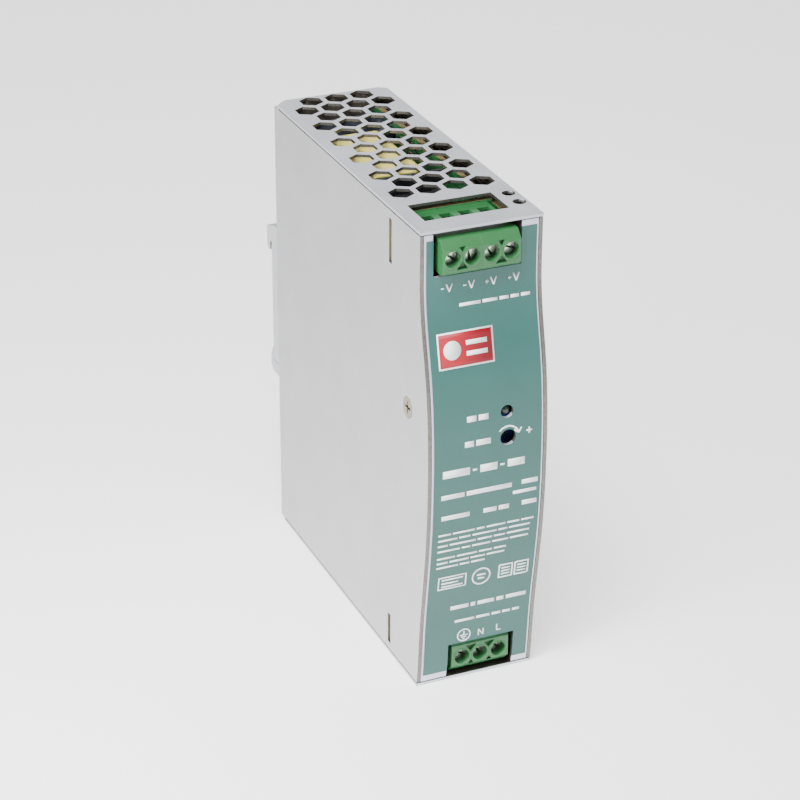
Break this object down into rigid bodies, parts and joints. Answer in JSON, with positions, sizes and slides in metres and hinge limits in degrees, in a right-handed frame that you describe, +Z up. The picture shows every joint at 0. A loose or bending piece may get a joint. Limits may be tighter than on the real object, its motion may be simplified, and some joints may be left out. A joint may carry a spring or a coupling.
{
  "type": "din rail power supply",
  "caption": "Slim switching power supply for a 35 mm DIN rail, in a vented aluminium case with a curved front, green screw terminals and a spring-latched rail clip.",
  "frame": {"origin": "under the middle of the whole outline, on the outer face of the bottom plate", "axes": "+X to the right along the rail seen from the front, -Y towards the front with the terminal screws, +Z up, away from the input terminals"},
  "size_m": [0.032, 0.1112, 0.1252],
  "materials": {
    "aluminium_sheet": "satin, bead-blasted and clear anodised",
    "aluminium_panel": "satin rolled sheet",
    "front_film": "printed matt polyester film, teal",
    "zinc_plated_steel": "bright zinc plating",
    "clip_aluminium": "extruded, satin",
    "spring_steel": "drawn wire",
    "insulating_film": "milky polyester film",
    "terminal_green": "moulded polyamide",
    "nickel_plated_steel": "nickel plating",
    "tinned_brass": "bright tin",
    "board_green": "glass-epoxy laminate with green solder mask",
    "lamp_body": "tinted clear epoxy",
    "trimmer_blue": "moulded, blue",
    "trimmer_white": "moulded, off-white",
    "ferrite": "sintered, matt",
    "black_plastic": "moulded phenolic and epoxy",
    "yellow_tape": "polyester tape",
    "capacitor_sleeve": "shrunk sleeve",
    "enamelled_copper": "enamelled wire",
    "heat_sink_aluminium": "sheared plate",
    "film_capacitor_yellow": "moulded box",
    "fuse_glass": "glass tube with plated caps",
    "disc_green": "lacquered ceramic disc",
    "disc_blue": "lacquered ceramic disc"
  },
  "bodies": {
    "case": {"ac_contacts": "tinned_brass", "ac_terminal": "terminal_green", "board_screws": "zinc_plated_steel", "board_standoffs": "zinc_plated_steel", "bridge_rectifier": "black_plastic", "bulk_capacitor": "capacitor_sleeve", "chassis": "aluminium_sheet", "clip_bracket": "clip_aluminium", "control_chip": "black_plastic", "dc_contacts": "tinned_brass", "dc_terminal_left": "terminal_green", "dc_terminal_right": "terminal_green", "front_label": "front_film", "front_panel": "aluminium_sheet", "fuse": "fuse_glass", "input_board": "board_green", "inrush_thermistor": "disc_green", "insulation_sheet": "insulating_film", "latch_spring": "spring_steel", "left_side_panel": "aluminium_panel", "line_choke_base": "black_plastic", "line_choke_core": "ferrite", "line_choke_windings": "enamelled_copper", "lug_nuts": "zinc_plated_steel", "main_board": "board_green", "optocouplers": "black_plastic", "output_board": "board_green", "output_capacitors": "capacitor_sleeve", "output_choke_core": "ferrite", "output_choke_winding": "enamelled_copper", "output_heat_sink": "heat_sink_aluminium", "output_rectifier": "black_plastic", "primary_heat_sink": "heat_sink_aluminium", "rear_rivets": "zinc_plated_steel", "right_side_panel": "aluminium_panel", "side_screws": "zinc_plated_steel", "status_led": "lamp_body", "switching_transistor": "black_plastic", "transformer_bobbin": "black_plastic", "transformer_core": "ferrite", "transformer_winding": "yellow_tape", "trimmer_body": "trimmer_blue", "x_capacitor": "film_capacitor_yellow", "y_capacitors": "disc_blue"},
    "latch": {"clip_latch": "zinc_plated_steel"},
    "trimmer_rotor": {"trimmer_rotor": "trimmer_white"},
    "dc_screw_1": {"dc_screw_1": "nickel_plated_steel"},
    "dc_clamp_1": {"dc_clamp_1": "nickel_plated_steel"},
    "dc_screw_2": {"dc_screw_2": "nickel_plated_steel"},
    "dc_clamp_2": {"dc_clamp_2": "nickel_plated_steel"},
    "dc_screw_3": {"dc_screw_3": "nickel_plated_steel"},
    "dc_clamp_3": {"dc_clamp_3": "nickel_plated_steel"},
    "dc_screw_4": {"dc_screw_4": "nickel_plated_steel"},
    "dc_clamp_4": {"dc_clamp_4": "nickel_plated_steel"},
    "ac_screw_1": {"ac_screw_1": "nickel_plated_steel"},
    "ac_clamp_1": {"ac_clamp_1": "nickel_plated_steel"},
    "ac_screw_2": {"ac_screw_2": "nickel_plated_steel"},
    "ac_clamp_2": {"ac_clamp_2": "nickel_plated_steel"},
    "ac_screw_3": {"ac_screw_3": "nickel_plated_steel"},
    "ac_clamp_3": {"ac_clamp_3": "nickel_plated_steel"}
  },
  "joints": [
    {"name": "latch_slide", "type": "slide", "parent": "case", "child": "latch", "axis": [0, 0, -1], "range_m": [0, 0.005], "stiffness_N_per_m": 900, "springref_m": -0.004, "deforming": ["latch_spring"]},
    {"name": "voltage_trim", "type": "hinge", "parent": "case", "child": "trimmer_rotor", "pos_m": [0.0053, -0.0504, 0.0701], "axis": [0, 1, 0], "range_deg": [-130, 130]},
    {"name": "dc_screw_1_turn", "type": "hinge", "parent": "case", "child": "dc_screw_1", "pos_m": [-0.00882, -0.0494, 0.1183], "axis": [0, 1, 0], "range_deg": [0, 2340]},
    {"name": "dc_clamp_1_rise", "type": "slide", "parent": "case", "child": "dc_clamp_1", "axis": [0, -1, 0], "range_m": [0, 0.003]},
    {"name": "dc_screw_2_turn", "type": "hinge", "parent": "case", "child": "dc_screw_2", "pos_m": [-0.00374, -0.0494, 0.1183], "axis": [0, 1, 0], "range_deg": [0, 2340]},
    {"name": "dc_clamp_2_rise", "type": "slide", "parent": "case", "child": "dc_clamp_2", "axis": [0, -1, 0], "range_m": [0, 0.003]},
    {"name": "dc_screw_3_turn", "type": "hinge", "parent": "case", "child": "dc_screw_3", "pos_m": [0.00134, -0.0494, 0.1183], "axis": [0, 1, 0], "range_deg": [0, 2340]},
    {"name": "dc_clamp_3_rise", "type": "slide", "parent": "case", "child": "dc_clamp_3", "axis": [0, -1, 0], "range_m": [0, 0.003]},
    {"name": "dc_screw_4_turn", "type": "hinge", "parent": "case", "child": "dc_screw_4", "pos_m": [0.00642, -0.0494, 0.1183], "axis": [0, 1, 0], "range_deg": [0, 2340]},
    {"name": "dc_clamp_4_rise", "type": "slide", "parent": "case", "child": "dc_clamp_4", "axis": [0, -1, 0], "range_m": [0, 0.003]},
    {"name": "ac_screw_1_turn", "type": "hinge", "parent": "case", "child": "ac_screw_1", "pos_m": [-0.00368, -0.0494, 0.0064], "axis": [0, 1, 0], "range_deg": [0, 2340]},
    {"name": "ac_clamp_1_rise", "type": "slide", "parent": "case", "child": "ac_clamp_1", "axis": [0, -1, 0], "range_m": [0, 0.003]},
    {"name": "ac_screw_2_turn", "type": "hinge", "parent": "case", "child": "ac_screw_2", "pos_m": [0.0014, -0.0494, 0.0064], "axis": [0, 1, 0], "range_deg": [0, 2340]},
    {"name": "ac_clamp_2_rise", "type": "slide", "parent": "case", "child": "ac_clamp_2", "axis": [0, -1, 0], "range_m": [0, 0.003]},
    {"name": "ac_screw_3_turn", "type": "hinge", "parent": "case", "child": "ac_screw_3", "pos_m": [0.00648, -0.0494, 0.0064], "axis": [0, 1, 0], "range_deg": [0, 2340]},
    {"name": "ac_clamp_3_rise", "type": "slide", "parent": "case", "child": "ac_clamp_3", "axis": [0, -1, 0], "range_m": [0, 0.003]}
  ],
  "couplings": [
    {"joint": "dc_screw_1_turn", "follows": "dc_clamp_1_rise", "rad_per_m": 12566},
    {"joint": "dc_screw_2_turn", "follows": "dc_clamp_2_rise", "rad_per_m": 12566},
    {"joint": "dc_screw_3_turn", "follows": "dc_clamp_3_rise", "rad_per_m": 12566},
    {"joint": "dc_screw_4_turn", "follows": "dc_clamp_4_rise", "rad_per_m": 12566},
    {"joint": "ac_screw_1_turn", "follows": "ac_clamp_1_rise", "rad_per_m": 12566},
    {"joint": "ac_screw_2_turn", "follows": "ac_clamp_2_rise", "rad_per_m": 12566},
    {"joint": "ac_screw_3_turn", "follows": "ac_clamp_3_rise", "rad_per_m": 12566}
  ]
}
